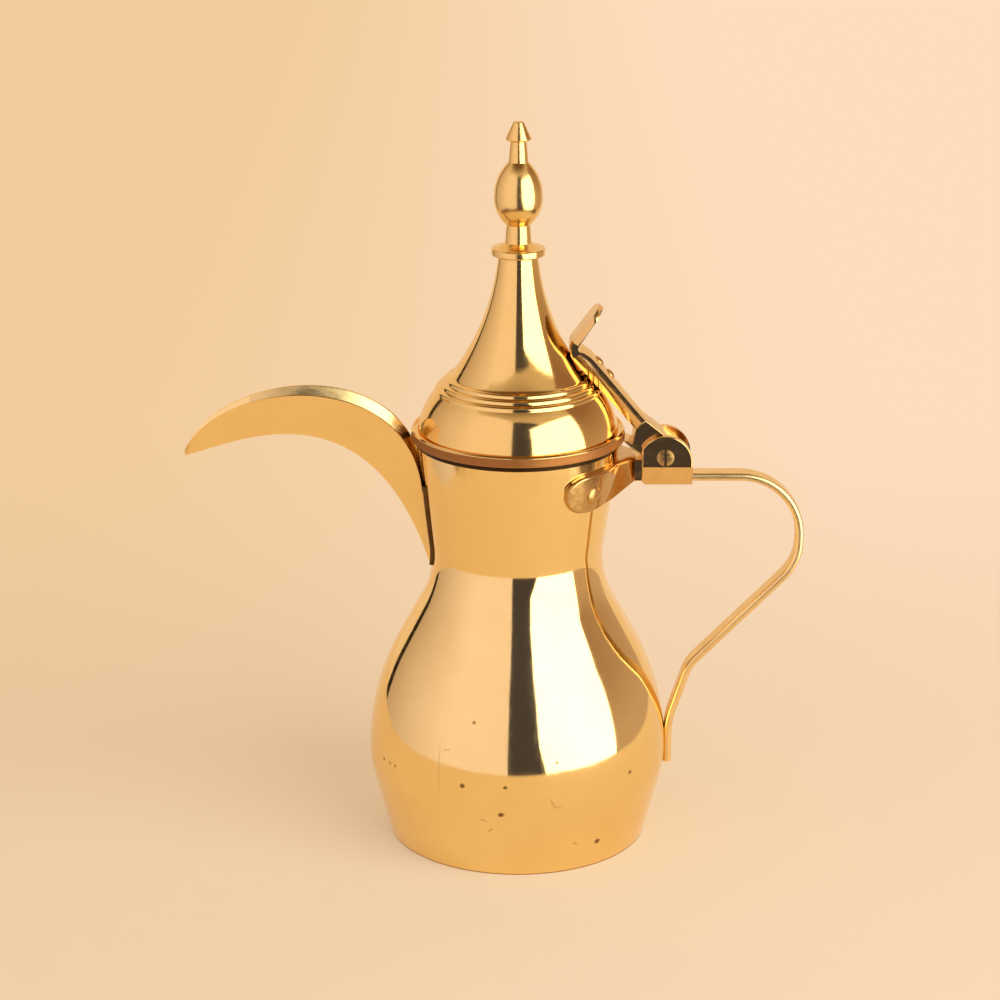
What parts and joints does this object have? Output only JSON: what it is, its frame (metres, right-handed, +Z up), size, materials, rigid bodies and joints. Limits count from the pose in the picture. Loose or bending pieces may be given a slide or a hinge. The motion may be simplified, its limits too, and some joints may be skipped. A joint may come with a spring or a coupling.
{
  "type": "dallah coffee pot",
  "caption": "Waisted brass coffee pot with a crescent beak spout, a bent strap handle and a hinged domed lid with thumb lever and turned finial.",
  "frame": {"origin": "centre of the flat foot, on the plane it stands on", "axes": "+Z up along the pot's axis, spout towards -X, handle towards +X, hinge pin along Y"},
  "size_m": [0.2539, 0.1236, 0.3],
  "materials": {
    "polished_brass": "polished, lightly worn",
    "cast_brass": "polished casting",
    "brass_hardware": "polished, dull edges",
    "dark_solder": "tarnished solder"
  },
  "bodies": {
    "pot": {"base_plate": "polished_brass", "belly_shell": "polished_brass", "neck_shell": "polished_brass", "spout_beak": "polished_brass", "spout_solder_seam": "dark_solder", "neck_saddle": "cast_brass", "saddle_rivets": "brass_hardware", "hinge_fork": "cast_brass", "hinge_pin": "brass_hardware", "handle_strap": "cast_brass"},
    "lid": {"lid_flange": "polished_brass", "lid_skirt": "polished_brass", "lid_dome": "polished_brass", "lid_hinge_knuckle": "cast_brass", "thumb_lever": "cast_brass", "lever_rivets": "brass_hardware", "finial_collar": "polished_brass", "finial_knob": "polished_brass", "finial_cap": "polished_brass"}
  },
  "joints": [
    {"name": "lid_hinge", "type": "hinge", "parent": "pot", "child": "lid", "pos_m": [0.0597, 0, 0.1643], "axis": [0, 1, 0], "range_deg": [0, 105]}
  ]
}
